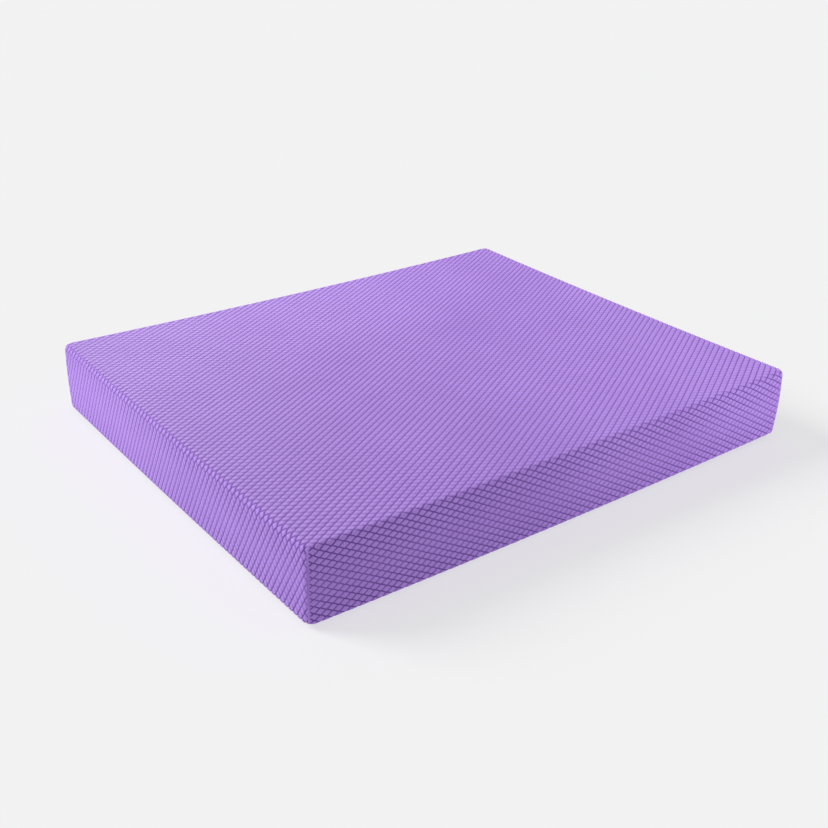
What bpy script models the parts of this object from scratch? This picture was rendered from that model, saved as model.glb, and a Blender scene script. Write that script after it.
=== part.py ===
"""Foam balance pad: a block of laminated foam sheets inside an upper and a lower skin.

The origin is the middle of the underside, +X runs along the long side, +Y along the short side and
+Z up. All lengths are in metres.
"""

import bmesh
import bpy

# Driving dimensions of the whole pad.
LENGTH = 0.400
DEPTH = 0.330
HEIGHT = 0.050

# Radii of the moulded edges: the four upright corners, the top edge and the bottom edge.
CORNER_RADIUS = 0.006
TOP_RADIUS = 0.004
BOTTOM_RADIUS = 0.002

# Both skins are this thick. The upper one covers the top and the four sides, down to the floor, and
# the lower one is let in flush between its walls.
SKIN_THICKNESS = 0.0025

# The core is built up from equal sheets, stacked between the skins.
CORE_SHEETS = 5

# Clearance kept between two pieces that touch.
FIT_GAP = 0.0003

# How far the cavity cutter runs out below the floor, through the upper skin's open side.
CUTTER_OVERRUN = 0.003

CORNER_SEGMENTS = 6
EDGE_SEGMENTS = 4
SAME_PLACE = 1e-6

SKIN_COLOR = (0.315, 0.160, 0.560, 1.0)
CORE_COLOR = (0.390, 0.230, 0.620, 1.0)


def clear_scene():
    """Removes whatever the scene holds."""
    for found in list(bpy.data.objects):
        bpy.data.objects.remove(found, do_unlink=True)


def make_material(name, color, roughness):
    """A plain foam material with no metal in it."""
    material = bpy.data.materials.new(name)
    material.use_nodes = True
    shader = material.node_tree.nodes["Principled BSDF"]
    shader.inputs["Base Color"].default_value = color
    shader.inputs["Roughness"].default_value = roughness
    shader.inputs["Metallic"].default_value = 0.0
    material.diffuse_color = color
    return material


def bevel_edges(mesh, edges, radius, segments):
    """Rounds the given edges of a bmesh with an arc of the radius."""
    bmesh.ops.bevel(
        mesh,
        geom=edges,
        offset=radius,
        offset_type="OFFSET",
        affect="EDGES",
        segments=segments,
        profile=0.5,
        material=-1,
    )


def rim_edges(mesh, height):
    """The edges at a height that part a level face from the walls."""
    rim = []
    for edge in mesh.edges:
        if all(abs(vert.co.z - height) < SAME_PLACE for vert in edge.verts):
            walls = [face for face in edge.link_faces if abs(face.normal.z) < 0.5]
            if len(walls) == 1:
                rim.append(edge)
    return rim


def rounded_block(name, inset, low, high, top_radius=0.0, bottom_radius=0.0):
    """A block with the pad's plan, drawn in by inset on all sides, from height low to high."""
    mesh = bmesh.new()
    bmesh.ops.create_cube(mesh, size=1.0)
    size = (LENGTH - 2 * inset, DEPTH - 2 * inset, high - low)
    bmesh.ops.scale(mesh, vec=size, verts=mesh.verts)
    bmesh.ops.translate(mesh, vec=(0.0, 0.0, (low + high) / 2), verts=mesh.verts)
    uprights = [
        edge for edge in mesh.edges if abs(edge.verts[0].co.z - edge.verts[1].co.z) > SAME_PLACE
    ]
    bevel_edges(mesh, uprights, CORNER_RADIUS - inset, CORNER_SEGMENTS)
    if top_radius > 0:
        mesh.normal_update()
        bevel_edges(mesh, rim_edges(mesh, high), top_radius, EDGE_SEGMENTS)
    if bottom_radius > 0:
        mesh.normal_update()
        bevel_edges(mesh, rim_edges(mesh, low), bottom_radius, EDGE_SEGMENTS)
    bmesh.ops.recalc_face_normals(mesh, faces=mesh.faces)
    data = bpy.data.meshes.new(name)
    mesh.to_mesh(data)
    mesh.free()
    data.shade_smooth()
    data.set_sharp_from_angle(angle=0.7)
    block = bpy.data.objects.new(name, data)
    bpy.context.scene.collection.objects.link(block)
    return block


def build_upper_skin(material):
    """The top sheet and the four side walls in one piece, open underneath."""
    skin = rounded_block("upper_skin", 0.0, 0.0, HEIGHT, TOP_RADIUS, BOTTOM_RADIUS)
    skin.data.materials.append(material)
    cavity_top = HEIGHT - SKIN_THICKNESS
    cavity_radius = TOP_RADIUS - SKIN_THICKNESS
    cavity = rounded_block("cavity_cutter", SKIN_THICKNESS, -CUTTER_OVERRUN, cavity_top, cavity_radius)
    cavity.hide_render = True
    cavity.display_type = "WIRE"
    cut = skin.modifiers.new("cavity", "BOOLEAN")
    cut.operation = "DIFFERENCE"
    cut.solver = "EXACT"
    cut.object = cavity


def build_lower_skin(material):
    """The flat bottom sheet, inside the upper skin's walls."""
    skin = rounded_block("lower_skin", SKIN_THICKNESS + FIT_GAP, 0.0, SKIN_THICKNESS)
    skin.data.materials.append(material)


def build_core(material):
    """The stack of foam sheets, from the lowest up; only the highest fits the skin's inner fillet."""
    inset = SKIN_THICKNESS + FIT_GAP
    pitch = (HEIGHT - 2 * SKIN_THICKNESS - FIT_GAP) / CORE_SHEETS
    for number in range(CORE_SHEETS):
        low = inset + number * pitch
        high = low + pitch - FIT_GAP
        highest = number == CORE_SHEETS - 1
        radius = TOP_RADIUS - inset if highest else 0.0
        sheet = rounded_block(f"core_sheet_{number + 1}", inset, low, high, top_radius=radius)
        sheet.data.materials.append(material)


def main():
    """Builds the pad."""
    clear_scene()
    skin_foam = make_material("skin_foam", SKIN_COLOR, 0.60)
    core_foam = make_material("core_foam", CORE_COLOR, 0.85)
    build_upper_skin(skin_foam)
    build_lower_skin(skin_foam)
    build_core(core_foam)


main()
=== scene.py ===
"""Looks of the foam balance pad: its embossed skins, the foam sheets inside them, a studio and a camera.

Lengths are in metres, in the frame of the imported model: the origin is the middle of the underside,
+X runs along the long side, +Y along the short side and +Z up.
"""

import logging
import math
from collections.abc import Callable, Iterable
from dataclasses import dataclass
from enum import Enum
from typing import ClassVar

import bmesh
import bpy
from mathutils import Matrix, Vector, noise


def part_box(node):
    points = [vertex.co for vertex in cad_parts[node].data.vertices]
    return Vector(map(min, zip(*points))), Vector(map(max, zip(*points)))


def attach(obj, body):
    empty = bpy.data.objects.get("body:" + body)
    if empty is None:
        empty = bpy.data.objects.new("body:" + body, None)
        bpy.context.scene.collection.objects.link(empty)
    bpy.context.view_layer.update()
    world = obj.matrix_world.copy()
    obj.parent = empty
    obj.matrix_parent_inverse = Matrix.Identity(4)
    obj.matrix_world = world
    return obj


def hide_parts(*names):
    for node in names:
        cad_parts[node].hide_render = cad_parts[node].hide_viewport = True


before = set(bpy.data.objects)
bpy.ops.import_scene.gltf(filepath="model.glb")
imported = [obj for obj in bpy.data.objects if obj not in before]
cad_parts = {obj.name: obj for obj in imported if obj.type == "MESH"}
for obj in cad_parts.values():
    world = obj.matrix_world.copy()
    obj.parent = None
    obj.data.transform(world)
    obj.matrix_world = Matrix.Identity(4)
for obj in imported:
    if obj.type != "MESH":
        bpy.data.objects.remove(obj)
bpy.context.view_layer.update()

log = logging.getLogger("balance_pad")

MILLIMETRE = 0.001
ON_PLANE = 1e-5
CORNERS = ((-1, -1), (-1, 1), (1, -1), (1, 1))
WHITE = (1.0, 1.0, 1.0, 1.0)


def clamped(share: float) -> float:
    """A share, kept between none and all."""
    return min(max(share, 0.0), 1.0)


def along_axis(axis: int, distance: float) -> Vector:
    """A vector along one axis.

    Args:
        axis: 0 for X, or 1 for Y.
        distance: its length, or less than nothing if it points backwards.

    Returns:
        The vector.
    """
    made = Vector()
    made[axis] = distance
    return made


def placed(name: str, data: bpy.types.ID) -> bpy.types.Object:
    """Makes an object and puts it in the scene.

    Args:
        name: the object's name.
        data: its mesh, lamp or camera.

    Returns:
        The object, at the origin.
    """
    made = bpy.data.objects.new(name, data)
    bpy.context.scene.collection.objects.link(made)
    return made


def mesh_object(mesh: bmesh.types.BMesh, name: str) -> bpy.types.Object:
    """Makes a mesh an object.

    Args:
        mesh: the mesh, which is freed.
        name: the object's name.

    Returns:
        The object, at the origin.
    """
    data = bpy.data.meshes.new(name)
    mesh.to_mesh(data)
    mesh.free()
    return placed(name, data)


class Side(Enum):
    """The two directions in which the folded sheet has flaps."""

    LONG = 0
    SHORT = 1


@dataclass(frozen=True)
class FoldPoint:
    """A place on the pad's smooth envelope.

    Attributes:
        place: where it is, before the pad's slight bow.
        outward: the envelope's outward direction there.
        press: how deep the emboss is there, as a share of its full depth.
    """

    place: Vector
    outward: Vector
    press: float


@dataclass(frozen=True)
class PadShape:
    """The pad's envelope, and how a flat sheet is folded over it.

    The flat sheet's middle lies on the top face. Past the fold lines its flaps run down the walls and
    round the bottom edge on to the underside, with no stretch along their way.
    """

    length: float
    depth: float
    height: float
    skin: float
    top_radius: float = 4.0 * MILLIMETRE
    bottom_radius: float = 2.0 * MILLIMETRE
    corner_radius: float = 6.5 * MILLIMETRE
    corner_pinch: float = 2.5 * MILLIMETRE
    corner_block: float = 10.0 * MILLIMETRE
    weld_half_width: float = 0.35 * MILLIMETRE
    weld_fade: float = 0.6 * MILLIMETRE
    rise_long: float = 2.0 * MILLIMETRE
    rise_short: float = 1.2 * MILLIMETRE
    wall_ease: float = 0.18
    face_ease: float = 0.22

    @property
    def top_arc(self) -> float:
        """Half the length of the top edge's quarter round."""
        return math.pi / 4 * self.top_radius

    @property
    def bottom_arc(self) -> float:
        """Half the length of the bottom edge's quarter round."""
        return math.pi / 4 * self.bottom_radius

    @property
    def wall(self) -> float:
        """The straight part of a wall."""
        return self.height - self.top_radius - self.bottom_radius

    @property
    def fold(self) -> tuple[float, float]:
        """How far the fold lines lie from the sheet's middle, along X and along Y."""
        saved = self.top_radius - self.top_arc
        return self.length / 2 - saved, self.depth / 2 - saved

    @property
    def wall_end(self) -> float:
        """Travel from the fold line down to where the bottom edge begins to turn."""
        return self.top_arc + self.wall

    @property
    def flap(self) -> float:
        """Travel from the fold line to the flap's end, on the underside."""
        return self.wall_end + 2 * self.bottom_arc + self.skin - self.bottom_radius

    @property
    def weld_cut(self) -> float:
        """How far into a corner block the flaps reach before the corner weld."""
        leg = self._leg(0.0, self.corner_radius)
        return self.corner_block * (1 - self.weld_half_width / leg)

    @property
    def block_start(self) -> float:
        """How far short of a wall's end the corner block starts."""
        return self.corner_block + self.top_radius - self.top_arc

    @property
    def notch(self) -> list[float]:
        """How far from the sheet's middle its corners are cut out, along X and along Y."""
        return [fold - self.corner_block + self.weld_cut for fold in self.fold]

    def crease_travels(self) -> list[float]:
        """Travels past the fold line at which the sheet is scored, so that it can turn there.

        Returns:
            The travels, from the top face down to the underside.
        """
        top = [self.top_arc * share for share in (-1, -1 / 3, 1 / 3, 1)]
        bottom = [self.wall_end + 2 * self.bottom_arc * share for share in (0, 1 / 3, 2 / 3, 1)]
        return top + bottom

    def profile(self, travel: float) -> tuple[float, float, float]:
        """Follows the sheet over the edges of the pad, in the plane across a wall.

        Args:
            travel: distance along the sheet past the fold line, outwards and down.

        Returns:
            The distance in from the wall's plane, the height, and the angle from +Z that the
            outside faces there.
        """
        if travel < -self.top_arc:
            return self.top_radius - self.top_arc - travel, self.height, 0.0
        if travel <= self.top_arc:
            tilt = (travel + self.top_arc) / self.top_radius
            inset = self.top_radius * (1 - math.sin(tilt))
            return inset, self.height - self.top_radius * (1 - math.cos(tilt)), tilt
        if travel < self.wall_end:
            return 0.0, self.height - self.top_radius - (travel - self.top_arc), math.pi / 2
        past = travel - self.wall_end
        if past <= 2 * self.bottom_arc:
            tilt = math.pi / 2 + past / self.bottom_radius
            inset = self.bottom_radius * (1 - math.sin(tilt))
            return inset, self.bottom_radius * (1 + math.cos(tilt)), tilt
        return self.bottom_radius + past - 2 * self.bottom_arc, 0.0, math.pi

    def corner_at(self, height: float) -> float:
        """The upright corner's radius at a height, tighter at mid-height than at its ends."""
        return self.corner_radius - self.corner_pinch * math.sin(math.pi * clamped(height / self.height))

    def _leg(self, inset: float, radius: float) -> float:
        """Length of the outline, drawn in by inset, from a corner block's start to the corner's middle."""
        return self._straight(inset, radius) + math.pi / 4 * max(radius - inset, 0.0)

    def _straight(self, inset: float, radius: float) -> float:
        """The straight part of that leg."""
        return self.block_start - max(radius, inset)

    def press(self, travel: float) -> float:
        """How deep the emboss is at a travel: full at the edges, eased at mid-wall and on the top.

        Args:
            travel: distance along the sheet past the fold line.

        Returns:
            The share of the emboss's full depth.
        """
        down = clamped((travel - self.top_arc) / self.wall)
        inwards = clamped((self.top_arc - travel) / (2 * self.top_arc))
        return 1.0 - self.wall_ease * math.sin(math.pi * down) ** 2 - self.face_ease * inwards

    def folded(self, across: float, along: float) -> FoldPoint:
        """Where a point of the flat sheet lies on the envelope.

        Args:
            across: the point's X on the flat sheet.
            along: its Y on the flat sheet.

        Returns:
            The place on the envelope.
        """
        reach = [
            abs(across) - (self.fold[0] - self.corner_block),
            abs(along) - (self.fold[1] - self.corner_block),
        ]
        side = Side.LONG if reach[1] >= reach[0] else Side.SHORT
        near, far = (reach[1], reach[0]) if side is Side.LONG else (reach[0], reach[1])
        if near <= 0:
            press = 1.0 - self.face_ease
            return FoldPoint(Vector((across, along, self.height)), Vector((0, 0, 1)), press)
        travel = near - self.corner_block
        inset, height, tilt = self.profile(travel)
        turn, shift, inward, weld = 0.0, far, inset, 1.0
        if far > 0:
            radius = self.corner_at(height)
            arc = max(radius - inset, 0.0)
            leg = self._leg(inset, radius)
            straight = self._straight(inset, radius)
            shift = far / min(near, self.corner_block) * leg
            weld = self._weld_fade(leg - shift, travel)
            if arc > 0 and shift > straight:
                turn = (shift - straight) / arc
                shift = straight + arc * math.sin(turn)
                inward = radius - arc * math.cos(turn)
        half = (self.length / 2, self.depth / 2)
        if side is Side.LONG:
            place = (half[0] - self.block_start + shift, half[1] - inward)
            outward = (math.sin(turn), math.cos(turn))
        else:
            place = (half[0] - inward, half[1] - self.block_start + shift)
            outward = (math.cos(turn), math.sin(turn))
        signs = (math.copysign(1, across), math.copysign(1, along))
        return FoldPoint(
            Vector((signs[0] * place[0], signs[1] * place[1], height)),
            Vector(
                (
                    signs[0] * outward[0] * math.sin(tilt),
                    signs[1] * outward[1] * math.sin(tilt),
                    math.cos(tilt),
                )
            ),
            self.press(travel) * weld,
        )

    def _weld_fade(self, gap: float, travel: float) -> float:
        """How much of the emboss is left beside a corner weld, at a gap from the corner's middle.

        Args:
            gap: distance along the outline from the corner's middle.
            travel: distance along the sheet past the fold line.

        Returns:
            The share that is left, which is all of it on the top face.
        """
        share = clamped((gap - self.weld_half_width) / self.weld_fade)
        eased = share * share * (3 - 2 * share)
        on_edge = clamped((travel + 2 * self.top_arc) / (2 * self.top_arc))
        return 1.0 - on_edge * (1.0 - eased)

    def bow(self, point: Vector) -> Vector:
        """Lifts the pad's ends and corners a little, as a soft block lies.

        Args:
            point: a point of the straight pad.

        Returns:
            Where it lies on the bowed pad.
        """
        across = point.x / (self.length / 2)
        along = point.y / (self.depth / 2)
        lift = self.rise_long * across**2 + self.rise_short * along**2
        return Vector((point.x, point.y, point.z + lift))


@dataclass(frozen=True)
class Step:
    """One ring of a raised diamond: how far it is drawn in, and how far it rises."""

    width: float
    rise: float


@dataclass(frozen=True)
class DiamondEmboss:
    """The raised diamonds pressed into the skins, on a lattice of 60 degree rhombi."""

    long_diagonal: float = 8.0 * MILLIMETRE
    short_diagonal: float = 4.62 * MILLIMETRE
    floor: Step = Step(0.09 * MILLIMETRE, 0.0)
    flank: Step = Step(0.31 * MILLIMETRE, 0.54 * MILLIMETRE)
    shoulder: Step = Step(0.36 * MILLIMETRE, 0.16 * MILLIMETRE)
    blunting: float = 0.07
    sway: float = 0.12 * MILLIMETRE
    sway_pitch: float = 35.0 * MILLIMETRE
    sway_seed: int = 7
    uneven: float = 0.08 * MILLIMETRE
    uneven_pace: float = 0.7

    @property
    def relief(self) -> float:
        """Height of a diamond's top above the groove's floor."""
        return self.floor.rise + self.flank.rise + self.shoulder.rise

    def lattice(self, reach: tuple[float, float], keep: Callable[[Vector], bool]) -> bmesh.types.BMesh:
        """A flat sheet of rhombi that covers a rectangle.

        Args:
            reach: half the rectangle's sides.
            keep: tells from a rhombus's middle whether it is wanted.

        Returns:
            The sheet, facing up, at height zero.
        """
        cells = math.ceil(reach[0] / self.long_diagonal + reach[1] / self.short_diagonal)
        sheet = bmesh.new()
        bmesh.ops.create_grid(sheet, x_segments=2 * cells, y_segments=2 * cells, size=cells)
        half_long, half_short = self.long_diagonal / 2, self.short_diagonal / 2
        skew = Matrix(
            (
                (half_long, half_long, 0, 0),
                (-half_short, half_short, 0, 0),
                (0, 0, 1, 0),
                (0, 0, 0, 1),
            )
        )
        bmesh.ops.transform(sheet, matrix=skew, verts=sheet.verts)
        unwanted = [face for face in sheet.faces if not keep(face.calc_center_median())]
        bmesh.ops.delete(sheet, geom=unwanted, context="FACES")
        return sheet

    def raise_diamonds(self, sheet: bmesh.types.BMesh) -> None:
        """Insets every rhombus into a raised diamond with a groove all round it.

        Args:
            sheet: the lattice. Its grooves end up below height zero and its diamonds reach it.
        """
        bmesh.ops.translate(sheet, vec=(0, 0, -self.relief), verts=sheet.verts)
        tops = sheet.faces[:]
        for step in (self.floor, self.flank, self.shoulder):
            bmesh.ops.inset_individual(
                sheet, faces=tops, thickness=step.width, depth=step.rise, use_even_offset=True
            )
            if step is not self.shoulder:
                self._blunt(tops)
        for top in tops:
            middle = top.calc_center_median()
            offset = self.uneven * (noise.noise(middle / self.long_diagonal * self.uneven_pace) - 1) / 2
            for vert in top.verts:
                vert.co.z += offset
        noise.seed_set(self.sway_seed)
        for vert in sheet.verts:
            vert.co += self.swayed(vert.co)

    def _blunt(self, tops: list[bmesh.types.BMFace]) -> None:
        """Draws the sharp ends of the diamonds in, so that the grooves widen where they cross.

        Args:
            tops: the diamonds' top faces, of which the long diagonal runs along X.
        """
        for top in tops:
            middle = top.calc_center_median()
            for vert in top.verts:
                vert.co.x -= (vert.co.x - middle.x) * self.blunting

    def swayed(self, place: Vector) -> Vector:
        """A small sideways drift of the pattern, slow enough to bend rows and not diamonds."""
        drift = noise.noise_vector(Vector((place.x, place.y, 0.0)) / self.sway_pitch)
        return Vector((drift.x, drift.y, 0.0)) * self.sway


def cut(
    mesh: bmesh.types.BMesh,
    faces: Iterable[bmesh.types.BMFace],
    place: Vector,
    normal: Vector,
    clear_outer: bool = False,
) -> list[bmesh.types.BMFace]:
    """Cuts some faces of a mesh with a plane.

    Args:
        mesh: the mesh.
        faces: the faces to cut.
        place: a point of the plane.
        normal: the plane's normal.
        clear_outer: whether what lies on the normal's side goes.

    Returns:
        The faces that are left of those given.
    """
    geometry: dict[object, None] = {}
    for face in faces:
        geometry[face] = None
        geometry.update(dict.fromkeys(face.edges))
        geometry.update(dict.fromkeys(face.verts))
    made = bmesh.ops.bisect_plane(
        mesh,
        geom=list(geometry),
        dist=ON_PLANE,
        plane_co=place,
        plane_no=normal,
        clear_outer=clear_outer,
    )
    return [item for item in made["geom"] if isinstance(item, bmesh.types.BMFace)]


def finish_mesh(mesh: bmesh.types.BMesh, name: str, shape: PadShape) -> bpy.types.Object:
    """Bows a mesh with the pad, turns its faces outwards and makes it an object.

    Args:
        mesh: the mesh, which is freed.
        name: the piece's name.
        shape: the pad's shape.

    Returns:
        The object, at the origin.
    """
    for vert in mesh.verts:
        vert.co = shape.bow(vert.co)
    bmesh.ops.recalc_face_normals(mesh, faces=mesh.faces)
    piece = mesh_object(mesh, name)
    piece.data.shade_smooth()
    log.info("%s: %d faces", name, len(piece.data.polygons))
    return piece


def cap_flat(mesh: bmesh.types.BMesh, rim: list[bmesh.types.BMEdge], height: float, pitch: float) -> None:
    """Carries a rim straight to a height and closes it there with a level face.

    Args:
        mesh: the mesh.
        rim: the edges of its one open rim.
        height: where the level face lies.
        pitch: the level face is cut into squares of about this size, so that it can bow.
    """
    made = bmesh.ops.extrude_edge_only(mesh, edges=rim)["geom"]
    for item in made:
        if isinstance(item, bmesh.types.BMVert):
            item.co.z = height
    edges = [item for item in made if isinstance(item, bmesh.types.BMEdge) and len(item.link_faces) == 1]
    level = [edge for edge in edges if all(abs(vert.co.z - height) < ON_PLANE for vert in edge.verts)]
    faces = bmesh.ops.contextual_create(mesh, geom=level)["faces"]
    reach = [max(abs(vert.co[axis]) for vert in faces[0].verts) for axis in (0, 1)]
    for axis in (0, 1):
        count = math.ceil(2 * reach[axis] / pitch)
        for number in range(1, count):
            place = along_axis(axis, reach[axis] * (2 * number / count - 1))
            faces = cut(mesh, faces, place, along_axis(axis, 1.0))


@dataclass(frozen=True)
class CornerWeld:
    """The smooth weld that joins two flaps at an upright corner of the pad."""

    shape: PadShape
    sign: tuple[int, int]

    def fill(self, mesh: bmesh.types.BMesh, flat: bmesh.types.BMLayerItem) -> None:
        """Closes the slit between the two flaps, from the top corner to the underside.

        Args:
            mesh: the folded sheet.
            flat: the vertex layer with each vertex's place on the flat sheet.
        """
        creases = [travel for travel in self.shape.crease_travels() if travel > 0]
        travels = [-math.inf, *creases, self.shape.flap]
        sides = [self._side(mesh, flat, side) for side in Side]
        rungs = [None]
        for travel in travels[1:]:
            pair = [min(side, key=lambda item: abs(item[1] - travel))[0] for side in sides]
            rungs.append(bmesh.ops.contextual_create(mesh, geom=pair)["edges"][0])
        made = []
        for number in range(1, len(travels)):
            low, high = travels[number - 1] - ON_PLANE, travels[number] + ON_PLANE
            loop = [edge for edge in (rungs[number - 1], rungs[number]) if edge]
            for side in sides:
                verts = {vert for vert, travel in side if low <= travel <= high}
                for vert in verts:
                    loop += [
                        edge
                        for edge in vert.link_edges
                        if edge.is_boundary and edge.other_vert(vert) in verts and edge not in loop
                    ]
            made += bmesh.ops.contextual_create(mesh, geom=loop)["faces"]
        bmesh.ops.triangulate(mesh, faces=made, quad_method="BEAUTY", ngon_method="BEAUTY")

    def _side(
        self, mesh: bmesh.types.BMesh, flat: bmesh.types.BMLayerItem, side: Side
    ) -> list[tuple[bmesh.types.BMVert, float]]:
        """The vertices along one flap's cut edge, each with its travel past the fold line.

        Args:
            mesh: the folded sheet.
            flat: the vertex layer with each vertex's place on the flat sheet.
            side: which of the corner's two flaps.

        Returns:
            The vertices and their travels.
        """
        run, stand = (1, 0) if side is Side.LONG else (0, 1)
        start = self.shape.notch
        found = []
        for vert in mesh.verts:
            place = vert[flat]
            level = place[stand] * self.sign[stand]
            travel = place[run] * self.sign[run]
            if abs(level - start[stand]) < 2 * ON_PLANE and travel > start[run] - 2 * ON_PLANE:
                if vert.is_boundary:
                    found.append((vert, travel - self.shape.fold[run]))
        return found


@dataclass(frozen=True)
class UpperSkin:
    """The embossed shell: top, walls, and the turned-in lip on the underside."""

    shape: PadShape
    emboss: DiamondEmboss
    ceiling_pitch: float = 40.0 * MILLIMETRE

    def build(self) -> bpy.types.Object:
        """Embosses a flat sheet, folds it over the pad and welds its corners.

        Returns:
            The shell, closed all round its foam.
        """
        shape = self.shape
        reach = [fold + shape.flap for fold in shape.fold]
        notch = shape.notch
        margin = self.emboss.long_diagonal

        def wanted(middle: Vector) -> bool:
            """Whether a rhombus touches the cross-shaped sheet.

            Args:
                middle: the rhombus's middle.

            Returns:
                Whether it does.
            """
            inside = [abs(middle[axis]) < reach[axis] + margin for axis in (0, 1)]
            on_arm = [abs(middle[axis]) < notch[axis] + margin for axis in (0, 1)]
            return all(inside) and any(on_arm)

        sheet = self.emboss.lattice((reach[0] + margin, reach[1] + margin), wanted)
        self.emboss.raise_diamonds(sheet)
        self._score(sheet)
        self._notch(sheet)
        flat = self._fold(sheet)
        for sign in CORNERS:
            CornerWeld(shape, sign).fill(sheet, flat)
        rim = [edge for edge in sheet.edges if edge.is_boundary]
        cap_flat(sheet, rim, shape.height - shape.skin, self.ceiling_pitch)
        return finish_mesh(sheet, "upper_skin_foam", shape)

    def _score(self, sheet: bmesh.types.BMesh) -> None:
        """Cuts the sheet along its fold lines, and off at the flaps' ends.

        Args:
            sheet: the embossed flat sheet.
        """
        travels = self.shape.crease_travels()
        margin = self.emboss.long_diagonal
        for axis in (0, 1):
            for sign in (-1, 1):
                normal = along_axis(axis, sign)
                edge = self.shape.fold[axis]
                strip = [
                    face
                    for face in sheet.faces
                    if face.calc_center_median()[axis] * sign > edge + travels[0] - margin
                ]
                for travel in travels:
                    strip = cut(sheet, strip, normal * (edge + travel), normal)
                cut(sheet, strip, normal * (edge + self.shape.flap), normal, clear_outer=True)

    def _notch(self, sheet: bmesh.types.BMesh) -> None:
        """Takes the sheet's four corners out, where the flaps meet once folded.

        Args:
            sheet: the embossed flat sheet.
        """
        notch = self.shape.notch
        for sign in CORNERS:
            corner = Vector((sign[0] * notch[0], sign[1] * notch[1], 0.0))
            block = [
                face
                for face in sheet.faces
                if self._past(face.calc_center_median(), corner, self.emboss.long_diagonal)
            ]
            for axis in (0, 1):
                block = cut(sheet, block, corner, along_axis(axis, sign[axis]))
            waste = [face for face in block if self._past(face.calc_center_median(), corner, 0.0)]
            bmesh.ops.delete(sheet, geom=waste, context="FACES")

    @staticmethod
    def _past(place: Vector, corner: Vector, margin: float) -> bool:
        """Whether a place lies further out than a corner, or within a margin of that.

        Args:
            place: the place.
            corner: the corner, in any quarter of the sheet.
            margin: how far short of the corner still counts.

        Returns:
            Whether it does.
        """
        return all(
            place[axis] * math.copysign(1, corner[axis]) > abs(corner[axis]) - margin for axis in (0, 1)
        )

    def _fold(self, sheet: bmesh.types.BMesh) -> bmesh.types.BMLayerItem:
        """Lays the sheet over the pad and marks how far each point stands out of the grooves.

        Args:
            sheet: the embossed flat sheet.

        Returns:
            The vertex layer with each vertex's place on the flat sheet.
        """
        flat = sheet.verts.layers.float_vector.new("flat")
        raised = sheet.verts.layers.float.new("raised")
        for vert in sheet.verts:
            vert[flat] = vert.co.copy()
            point = self.shape.folded(vert.co.x, vert.co.y)
            vert[raised] = 1.0 + vert.co.z / self.emboss.relief * point.press
            vert.co = point.place + point.outward * vert.co.z * point.press
        return flat


@dataclass(frozen=True)
class LowerSkin:
    """The embossed flat sheet under the pad, let in between the upper skin's walls."""

    shape: PadShape
    emboss: DiamondEmboss
    gap: float = 0.1 * MILLIMETRE
    corner_cuts: int = 3
    corner_reach: float = 24.0 * MILLIMETRE
    cap_pitch: float = 40.0 * MILLIMETRE

    def build(self) -> bpy.types.Object:
        """Embosses a flat sheet, trims it to the opening and gives it its thickness.

        Returns:
            The sheet, with its diamonds facing down.
        """
        inset = self.shape.skin + self.gap
        half = Vector((self.shape.length / 2 - inset, self.shape.depth / 2 - inset, 0.0))
        margin = self.emboss.long_diagonal
        sheet = self.emboss.lattice(
            (half.x + margin, half.y + margin),
            lambda middle: abs(middle.x) < half.x + margin and abs(middle.y) < half.y + margin,
        )
        self.emboss.raise_diamonds(sheet)
        self._trim(sheet, half, self.shape.corner_at(0.0) - inset)
        raised = sheet.verts.layers.float.new("raised")
        for vert in sheet.verts:
            vert[raised] = 1.0 + vert.co.z / self.emboss.relief
            vert.co.z = -vert.co.z
        rim = [edge for edge in sheet.edges if edge.is_boundary]
        cap_flat(sheet, rim, self.shape.skin, self.cap_pitch)
        return finish_mesh(sheet, "lower_skin_foam", self.shape)

    def _trim(self, sheet: bmesh.types.BMesh, half: Vector, radius: float) -> None:
        """Cuts the sheet to a rectangle with rounded corners.

        Args:
            sheet: the embossed flat sheet.
            half: half the rectangle's sides.
            radius: the radius of its corners.
        """
        faces = sheet.faces[:]
        for axis in (0, 1):
            for sign in (-1, 1):
                normal = along_axis(axis, sign)
                faces = cut(sheet, faces, normal * half[axis], normal, clear_outer=True)
        for across, along in CORNERS:
            centre = Vector((across * (half.x - radius), along * (half.y - radius), 0.0))
            near = [
                face
                for face in sheet.faces
                if (face.calc_center_median() - centre).length < self.corner_reach
            ]
            for number in range(self.corner_cuts):
                angle = math.pi / 2 * (number + 1) / (self.corner_cuts + 1)
                normal = Vector((across * math.cos(angle), along * math.sin(angle), 0.0))
                near = cut(sheet, near, centre + normal * radius, normal, clear_outer=True)


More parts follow.
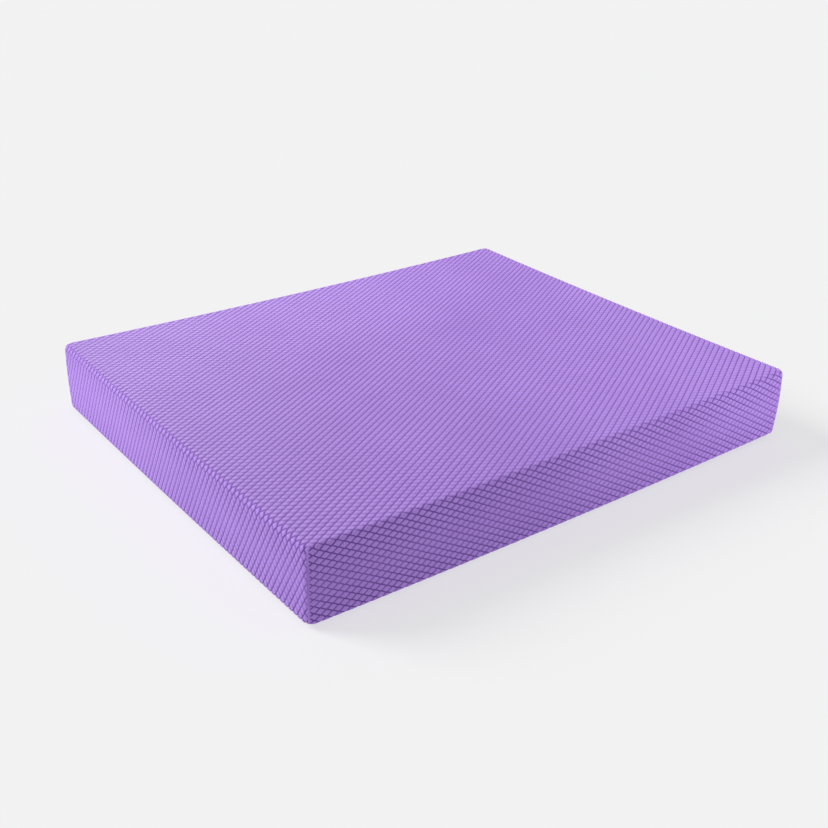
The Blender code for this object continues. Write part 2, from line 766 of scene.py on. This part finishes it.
@dataclass(frozen=True)
class CoreSheet:
    """One of the plain foam sheets stacked inside the skins."""

    shape: PadShape
    node: str
    corner_segments: int = 6
    edge_round: float = 0.6 * MILLIMETRE
    edge_segments: int = 2
    sharp: float = math.pi / 3
    pitch: float = 40.0 * MILLIMETRE

    def build(self) -> bpy.types.Object:
        """Shapes the sheet to its CAD node's box and bows it with the pad.

        Returns:
            The sheet.
        """
        low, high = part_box(self.node)
        mesh = bmesh.new()
        bmesh.ops.create_cube(mesh, size=1.0)
        bmesh.ops.scale(mesh, vec=high - low, verts=mesh.verts)
        bmesh.ops.translate(mesh, vec=(low + high) / 2, verts=mesh.verts)
        uprights = [edge for edge in mesh.edges if abs(edge.verts[0].co.z - edge.verts[1].co.z) > ON_PLANE]
        radius = self.shape.corner_radius - (self.shape.length / 2 - high.x)
        self._round(mesh, uprights, radius, self.corner_segments)
        mesh.normal_update()
        rims = [edge for edge in mesh.edges if edge.calc_face_angle(0.0) > self.sharp]
        self._round(mesh, rims, self.edge_round, self.edge_segments)
        for axis in (0, 1):
            count = math.ceil((high[axis] - low[axis]) / self.pitch)
            for number in range(1, count):
                place = along_axis(axis, low[axis] + (high[axis] - low[axis]) * number / count)
                cut(mesh, mesh.faces[:], place, along_axis(axis, 1.0))
        return finish_mesh(mesh, f"{self.node}_foam", self.shape)

    @staticmethod
    def _round(
        mesh: bmesh.types.BMesh, edges: list[bmesh.types.BMEdge], radius: float, segments: int
    ) -> None:
        """Rounds edges with an arc.

        Args:
            mesh: the mesh.
            edges: the edges to round.
            radius: the arc's radius.
            segments: how many faces make the arc.
        """
        bmesh.ops.bevel(
            mesh,
            geom=edges,
            offset=radius,
            offset_type="OFFSET",
            affect="EDGES",
            segments=segments,
            profile=0.5,
            material=-1,
        )


class NodeSheet:
    """A node tree that is built from top to bottom, one node at a time."""

    def __init__(self, tree: bpy.types.NodeTree) -> None:
        """Starts with the tree as it is."""
        self.tree = tree

    def add(self, kind: str, settings: dict[str, object] | None = None, **inputs: object) -> bpy.types.Node:
        """Adds a node.

        Args:
            kind: the node's type.
            settings: its properties.
            **inputs: values or output sockets for its inputs, with underscores for spaces.

        Returns:
            The node.
        """
        node = self.tree.nodes.new(kind)
        for name, value in (settings or {}).items():
            setattr(node, name, value)
        for name, value in inputs.items():
            self.feed(node, name.replace("_", " "), value)
        return node

    def feed(self, node: bpy.types.Node, name: str, value: object) -> None:
        """Links or sets one input of a node.

        Args:
            node: the node.
            name: the input's name.
            value: a value, or the output socket to link.
        """
        self._put(node.inputs[name], value)

    def _put(self, socket: bpy.types.NodeSocket, value: object) -> None:
        """Links or sets a socket.

        Args:
            socket: the input socket.
            value: a value, or the output socket to link.
        """
        if isinstance(value, bpy.types.NodeSocket):
            self.tree.links.new(value, socket)
        else:
            socket.default_value = value

    def maths(self, operation: str, first: object, second: object) -> bpy.types.NodeSocket:
        """The result of a sum on two values or sockets.

        Args:
            operation: the kind of sum.
            first: its first value or socket.
            second: its second value or socket.

        Returns:
            The output socket.
        """
        node = self.add("ShaderNodeMath", {"operation": operation})
        for socket, value in zip(node.inputs, (first, second)):
            self._put(socket, value)
        return node.outputs[0]

    def blend(self, share: object, first: object, second: object) -> bpy.types.NodeSocket:
        """A colour between two colours.

        Args:
            share: how much of the second colour, as a value or socket.
            first: the first colour or socket.
            second: the second colour or socket.

        Returns:
            The output socket.
        """
        node = self.add("ShaderNodeMix", {"data_type": "RGBA"})
        for socket, value in zip((node.inputs[0], node.inputs[6], node.inputs[7]), (share, first, second)):
            self._put(socket, value)
        return node.outputs[2]

    def span(
        self,
        value: bpy.types.NodeSocket,
        source: tuple[float, float] = (0.0, 1.0),
        result: tuple[float, float] = (0.0, 1.0),
        interpolation: str = "LINEAR",
    ) -> bpy.types.NodeSocket:
        """Stretches one span of values over another.

        Args:
            value: the socket with the values.
            source: where the values start and end.
            result: where the results start and end.
            interpolation: how they run between the two.

        Returns:
            The output socket.
        """
        node = self.add(
            "ShaderNodeMapRange",
            {"interpolation_type": interpolation},
            Value=value,
            From_Min=source[0],
            From_Max=source[1],
            To_Min=result[0],
            To_Max=result[1],
        )
        return node.outputs[0]


@dataclass(frozen=True)
class EffectGroups:
    """The effects that the foams share, each a node group that is built once."""

    cells: bpy.types.NodeTree
    drift: bpy.types.NodeTree
    cell_smoothness: ClassVar[float] = 0.35
    pit_span: ClassVar[tuple[float, float]] = (0.35, 0.75)
    pit_depth: ClassVar[float] = 0.6
    tone_span: ClassVar[tuple[float, float]] = (0.3, 0.7)

    @classmethod
    def made(cls) -> "EffectGroups":
        """Builds both groups."""
        return cls(cls._cells(), cls._drift())

    @staticmethod
    def _start(name: str, inputs: dict[str, str], outputs: dict[str, str]) -> NodeSheet:
        """An empty group with named sockets.

        Args:
            name: the group's name.
            inputs: the inputs' names and types.
            outputs: the outputs' names and types.

        Returns:
            The group's tree, ready for nodes.
        """
        tree = bpy.data.node_groups.new(name, "ShaderNodeTree")
        for sockets, direction in ((inputs, "INPUT"), (outputs, "OUTPUT")):
            for label, kind in sockets.items():
                tree.interface.new_socket(label, in_out=direction, socket_type=kind)
        return NodeSheet(tree)

    @classmethod
    def _cells(cls) -> bpy.types.NodeTree:
        """Fine closed cells of foam: a height for bump, and a mask of the pits between them.

        Returns:
            The node group.
        """
        sheet = cls._start(
            "foam_cells",
            {
                "Vector": "NodeSocketVector",
                "Cell Density": "NodeSocketFloat",
                "Grain Density": "NodeSocketFloat",
            },
            {"Height": "NodeSocketFloat", "Pits": "NodeSocketFloat"},
        )
        inlet = sheet.add("NodeGroupInput")
        outlet = sheet.add("NodeGroupOutput")
        cells = sheet.add(
            "ShaderNodeTexVoronoi",
            {"feature": "SMOOTH_F1"},
            Vector=inlet.outputs["Vector"],
            Scale=inlet.outputs["Cell Density"],
            Smoothness=cls.cell_smoothness,
        )
        grain = sheet.add(
            "ShaderNodeTexNoise",
            Vector=inlet.outputs["Vector"],
            Scale=inlet.outputs["Grain Density"],
            Detail=3.0,
            Roughness=0.6,
        )
        pits = sheet.span(cells.outputs["Distance"], cls.pit_span)
        sunk = sheet.maths("MULTIPLY", pits, cls.pit_depth)
        sheet.feed(outlet, "Height", sheet.maths("SUBTRACT", grain.outputs["Fac"], sunk))
        sheet.feed(outlet, "Pits", pits)
        return sheet.tree

    @classmethod
    def _drift(cls) -> bpy.types.NodeTree:
        """Slow changes of tone over the surface, from lamination and handling.

        Returns:
            The node group.
        """
        sheet = cls._start(
            "tone_drift",
            {
                "Vector": "NodeSocketVector",
                "Density": "NodeSocketFloat",
                "Light": "NodeSocketColor",
                "Deep": "NodeSocketColor",
            },
            {"Color": "NodeSocketColor", "Amount": "NodeSocketFloat"},
        )
        inlet = sheet.add("NodeGroupInput")
        outlet = sheet.add("NodeGroupOutput")
        cloud = sheet.add(
            "ShaderNodeTexNoise",
            Vector=inlet.outputs["Vector"],
            Scale=inlet.outputs["Density"],
            Detail=4.0,
            Roughness=0.55,
        )
        share = sheet.span(cloud.outputs["Fac"], cls.tone_span)
        sheet.feed(outlet, "Color", sheet.blend(share, inlet.outputs["Deep"], inlet.outputs["Light"]))
        sheet.feed(outlet, "Amount", share)
        return sheet.tree


@dataclass(frozen=True)
class FoamFinish:
    """Closed-cell elastomer foam, coloured through.

    Attributes:
        name: the material's name.
        light: the foam's paler tone.
        deep: its darker tone, between which it drifts.
        groove: painted shade, the dark tone painted in the grooves and in the pits between the cells.
        roughness: the least and the most roughness.
        cell_density: cells per metre.
        grain_density: grains per metre.
        bump: the height of the grain.
        sheen: how much soft sheen the surface has.
        specular: how strong its gloss is.
        embossed: whether the piece has raised diamonds.
        painted_shade_reach: how high up a diamond's flank the painted shade of the grooves reaches.
        painted_highlight: the paler tone of the painted highlight on a diamond's raised top.
        highlight_strength: how much of that painted highlight shows.
        highlight_span: how high up a diamond the painted highlight starts, and where it is full.
        pit_shade: how much of the groove's painted shade is put in the pits between the cells.
        tone_density: changes of tone per metre.
        sheen_roughness: how wide the sheen spreads.
    """

    name: str
    light: tuple[float, float, float, float]
    deep: tuple[float, float, float, float]
    groove: tuple[float, float, float, float]
    roughness: tuple[float, float]
    cell_density: float
    grain_density: float
    bump: float
    sheen: float
    specular: float
    embossed: bool
    # Painted shade up the diamonds' flanks.
    painted_shade_reach: float = 0.70
    # Painted highlight on the diamonds' raised tops.
    painted_highlight: tuple[float, float, float, float] = (0.48, 0.32, 0.74, 1.0)
    highlight_strength: float = 0.16
    highlight_span: tuple[float, float] = (0.84, 0.96)
    # Painted shade in the pits between the cells.
    pit_shade: float = 0.25
    tone_density: float = 9.0
    sheen_roughness: float = 0.45

    def material(self, effects: EffectGroups) -> bpy.types.Material:
        """Builds the foam's material.

        Args:
            effects: the node groups that it uses.

        Returns:
            The material.
        """
        made = bpy.data.materials.new(self.name)
        made.use_nodes = True
        sheet = NodeSheet(made.node_tree)
        shader = made.node_tree.nodes["Principled BSDF"]
        place = sheet.add("ShaderNodeTexCoord").outputs["Object"]
        drift = sheet.add(
            "ShaderNodeGroup",
            {"node_tree": effects.drift},
            Vector=place,
            Density=self.tone_density,
            Light=self.light,
            Deep=self.deep,
        )
        cells = sheet.add(
            "ShaderNodeGroup",
            {"node_tree": effects.cells},
            Vector=place,
            Cell_Density=self.cell_density,
            Grain_Density=self.grain_density,
        )
        # Painted shade: the pits between the cells are darkened towards the groove tone.
        pits = sheet.maths("MULTIPLY", cells.outputs["Pits"], self.pit_shade)
        color = sheet.blend(pits, drift.outputs["Color"], self.groove)
        if self.embossed:
            # Painted shade: the grooves and the lower flanks of the diamonds take the dark groove tone.
            raised = sheet.add("ShaderNodeAttribute", {"attribute_name": "raised"}).outputs["Fac"]
            low = sheet.span(raised, (self.painted_shade_reach, 0.0), interpolation="SMOOTHSTEP")
            color = sheet.blend(low, color, self.groove)
            # Painted highlight: a paler tone on the diamonds' raised tops, stronger where the tone drift is
            # paler.
            high = sheet.span(raised, self.highlight_span)
            painted_highlight = sheet.maths("MULTIPLY", high, drift.outputs["Amount"])
            color = sheet.blend(sheet.maths("MULTIPLY", painted_highlight, self.highlight_strength), color, self.painted_highlight)
        sheet.feed(shader, "Base Color", color)
        sheet.feed(shader, "Roughness", sheet.span(cells.outputs["Height"], result=self.roughness))
        bump = sheet.add("ShaderNodeBump", Height=cells.outputs["Height"])
        bump.inputs["Strength"].default_value = 1.0
        bump.inputs["Distance"].default_value = self.bump
        sheet.feed(shader, "Normal", bump.outputs["Normal"])
        shader.inputs["Metallic"].default_value = 0.0
        shader.inputs["Sheen Weight"].default_value = self.sheen
        shader.inputs["Sheen Roughness"].default_value = self.sheen_roughness
        shader.inputs["Specular IOR Level"].default_value = self.specular
        return made


SKIN_FOAM = FoamFinish(
    name="skin_foam",
    light=(0.358, 0.196, 0.622, 1.0),
    deep=(0.323, 0.173, 0.574, 1.0),
    # The groove tone is painted shade, in the grooves and in the pits between the cells.
    groove=(0.085, 0.022, 0.250, 1.0),
    roughness=(0.54, 0.70),
    cell_density=1900.0,
    grain_density=4200.0,
    bump=0.00005,
    sheen=0.10,
    specular=0.28,
    embossed=True,
)

CORE_FOAM = FoamFinish(
    name="core_foam",
    light=(0.420, 0.255, 0.650, 1.0),
    deep=(0.370, 0.215, 0.600, 1.0),
    # The groove tone is painted shade, used here only in the pits between the cells.
    groove=(0.260, 0.130, 0.480, 1.0),
    roughness=(0.75, 0.92),
    cell_density=1400.0,
    grain_density=3000.0,
    bump=0.00008,
    sheen=0.15,
    specular=0.20,
    embossed=False,
)


class LampKind(Enum):
    """The lamps that the studio uses."""

    FAR = "SUN"
    PANEL = "AREA"


@dataclass(frozen=True)
class Lamp:
    """A soft lamp that points at a place.

    A far lamp's spread is the angle that it fills, and a panel's is the length of its side.
    """

    name: str
    kind: LampKind
    place: tuple[float, float, float]
    target: tuple[float, float, float]
    spread: float
    power: float

    def build(self, lit: bpy.types.Collection | None = None) -> None:
        """Hangs the lamp.

        Args:
            lit: the only pieces that it lights, or nothing if it lights all.
        """
        data = bpy.data.lights.new(self.name, self.kind.value)
        data.energy = self.power
        if self.kind is LampKind.FAR:
            data.angle = self.spread
        else:
            data.size = self.spread
        lamp = placed(self.name, data)
        lamp.location = self.place
        aim = Vector(self.target) - Vector(self.place)
        lamp.rotation_euler = aim.to_track_quat("-Z", "Y").to_euler()
        lamp.visible_camera = False
        if lit:
            lamp.light_linking.receiver_collection = lit


@dataclass(frozen=True)
class Studio:
    """A pale floor, soft light and a camera."""

    floor_size: float = 24.0
    floor_color: tuple[float, float, float, float] = (0.38, 0.38, 0.382, 1.0)
    floor_glow: float = 0.620
    floor_roughness: float = 0.9
    dome: float = 0.36
    camera_place: tuple[float, float, float] = (-0.4589, -0.5904, 0.3810)
    camera_target: tuple[float, float, float] = (0.0051, 0.0131, 0.0)
    camera_roll: float = math.radians(1.325)
    lens: float = 49.63
    nearest: float = 0.01
    key: Lamp = Lamp("key", LampKind.FAR, (-1.40, 1.60, 1.40), (0.0, 0.0, 0.0), math.radians(30), 2.00)
    panels: tuple[Lamp, ...] = (
        Lamp("back_panel", LampKind.PANEL, (0.10, 0.80, 0.70), (0.08, 0.10, 0.0), 0.30, 7.2),
        Lamp("left_panel", LampKind.PANEL, (-0.62, 0.27, 0.06), (-0.2, 0.12, 0.02), 0.20, 1.25),
        Lamp("low_side", LampKind.FAR, (-0.90, -0.46, 0.90), (0.0, 0.0, 0.0), math.radians(8), 0.85),
        Lamp("right_panel", LampKind.PANEL, (0.30, -0.50, 0.18), (0.22, -0.16, 0.0), 0.20, 1.2),
    )

    def build(self, pieces: Iterable[bpy.types.Object]) -> None:
        """Builds the studio.

        Args:
            pieces: what the panels light. The floor stays even, for they don't light it.
        """
        self._floor()
        self._dome()
        self.key.build()
        lit = bpy.data.collections.new("lit_by_panels")
        for piece in pieces:
            lit.objects.link(piece)
        for panel in self.panels:
            panel.build(lit)
        self._camera()
        bpy.context.scene.view_settings.view_transform = "Standard"

    def _floor(self) -> None:
        """A wide level floor that glows a little, so that shadows on it stay pale."""
        mesh = bmesh.new()
        bmesh.ops.create_grid(mesh, x_segments=1, y_segments=1, size=self.floor_size / 2)
        floor = mesh_object(mesh, "floor")
        paint = bpy.data.materials.new("floor_paint")
        paint.use_nodes = True
        shader = paint.node_tree.nodes["Principled BSDF"]
        shader.inputs["Base Color"].default_value = self.floor_color
        shader.inputs["Roughness"].default_value = self.floor_roughness
        shader.inputs["Specular IOR Level"].default_value = 0.0
        shader.inputs["Emission Color"].default_value = WHITE
        shader.inputs["Emission Strength"].default_value = self.floor_glow
        floor.data.materials.append(paint)

    def _dome(self) -> None:
        """An even white surround."""
        world = bpy.data.worlds.new("surround")
        world.use_nodes = True
        sky = world.node_tree.nodes["Background"]
        sky.inputs["Color"].default_value = WHITE
        sky.inputs["Strength"].default_value = self.dome
        bpy.context.scene.world = world

    def _camera(self) -> None:
        """The camera, which leans a little to one side."""
        data = bpy.data.cameras.new("camera")
        data.lens = self.lens
        data.clip_start = self.nearest
        camera = placed("camera", data)
        aim = Vector(self.camera_target) - Vector(self.camera_place)
        level = aim.to_track_quat("-Z", "Y").to_matrix().to_4x4()
        lean = Matrix.Rotation(self.camera_roll, 4, "Z")
        camera.matrix_world = Matrix.Translation(self.camera_place) @ level @ lean
        bpy.context.scene.camera = camera


@dataclass(frozen=True)
class BalancePad:
    """The whole pad: two embossed skins round a stack of foam sheets."""

    shape: PadShape
    emboss: DiamondEmboss
    effects: EffectGroups

    @classmethod
    def from_frame(cls) -> "BalancePad":
        """Takes the pad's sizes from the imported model.

        Returns:
            The pad.
        """
        low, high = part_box("upper_skin")
        sheet_low, sheet_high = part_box("lower_skin")
        shape = PadShape(
            length=high.x - low.x,
            depth=high.y - low.y,
            height=high.z - low.z,
            skin=sheet_high.z - sheet_low.z,
        )
        return cls(shape, DiamondEmboss(), EffectGroups.made())

    def build(self) -> list[bpy.types.Object]:
        """Builds and dresses every piece.

        Returns:
            The pieces.
        """
        skin_foam = SKIN_FOAM.material(self.effects)
        core_foam = CORE_FOAM.material(self.effects)
        upper = UpperSkin(self.shape, self.emboss).build()
        lower = LowerSkin(self.shape, self.emboss).build()
        pieces = [upper, lower]
        self._dress(upper, "upper_skin", "skin_foam", skin_foam)
        self._dress(lower, "lower_skin", "skin_foam", skin_foam)
        for node in sorted(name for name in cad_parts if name.startswith("core_sheet")):
            pieces.append(CoreSheet(self.shape, node).build())
            self._dress(pieces[-1], node, "core_foam", core_foam)
        return pieces

    @staticmethod
    def _dress(piece: bpy.types.Object, node: str, slot: str, material: bpy.types.Material) -> None:
        """Gives a piece its material and its place in the model.

        Args:
            piece: the piece.
            node: the CAD node that it stands for.
            slot: the record's material slot; not used.
            material: its finish.
        """
        piece.data.materials.append(material)
        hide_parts(node)
        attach(piece, "root")
        log.info("%s stands for %s", piece.name, node)


def main() -> None:
    """Builds the pad and the studio."""
    logging.basicConfig(level=logging.INFO, format="%(name)s: %(message)s")
    pieces = BalancePad.from_frame().build()
    Studio().build(pieces)


if __name__ == "__main__":
    main()
